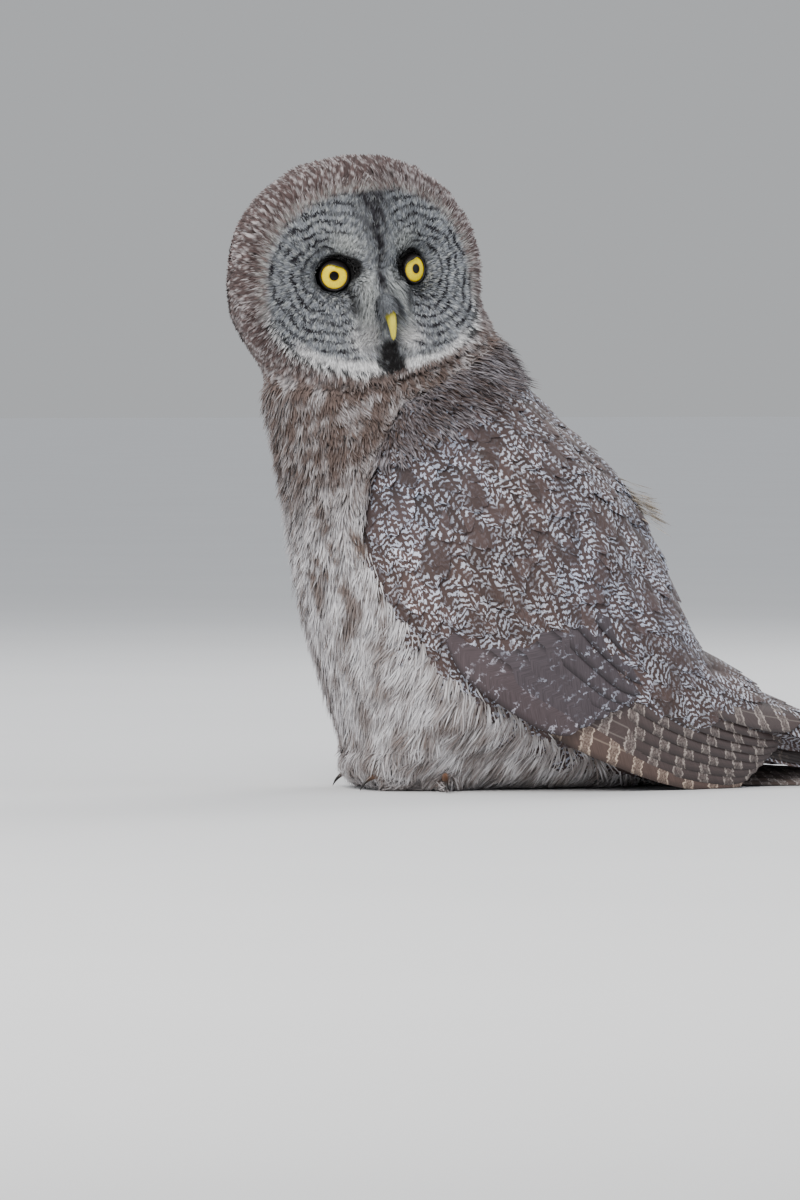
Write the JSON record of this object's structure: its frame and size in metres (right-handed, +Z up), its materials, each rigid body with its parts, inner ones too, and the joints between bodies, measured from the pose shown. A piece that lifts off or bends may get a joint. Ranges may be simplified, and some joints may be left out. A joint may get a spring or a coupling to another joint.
{
  "type": "great grey owl",
  "caption": "Life-size great grey owl sitting upright on the floor, head turned over its left shoulder, wings folded, tail laid out behind it.",
  "frame": {"origin": "middle of the whole outline, on the floor", "axes": "+Z up, the owl's breast faces -Y, its left side is +X; the head looks along +X"},
  "size_m": [0.2276, 0.5244, 0.4495],
  "materials": {
    "face_feathers": "soft grey feathers with dark rings",
    "brown_feathers": "brown feathers with pale wavy bars",
    "pale_feathers": "loose pale feathers with brown streaks",
    "flight_feathers": "stiff barred feathers",
    "toe_feathers": "short fine feathers",
    "bill": "satin horn",
    "claw": "dark horn",
    "eye": "wet yellow iris, black pupil"
  },
  "bodies": {
    "root": {"head": "face_feathers", "neck": "brown_feathers", "trunk": "pale_feathers", "wing_left": "brown_feathers", "wing_right": "brown_feathers", "wing_tip_left": "flight_feathers", "wing_tip_right": "flight_feathers", "tail": "flight_feathers", "leg_left": "pale_feathers", "leg_right": "pale_feathers", "foot_left": "toe_feathers", "foot_right": "toe_feathers", "eye_left": "eye", "eye_right": "eye", "bill_upper": "bill", "bill_lower": "bill", "claw_inner_left": "claw", "claw_inner_right": "claw", "claw_middle_left": "claw", "claw_middle_right": "claw", "claw_outer_left": "claw", "claw_outer_right": "claw", "claw_hind_left": "claw", "claw_hind_right": "claw"}
  },
  "joints": []
}
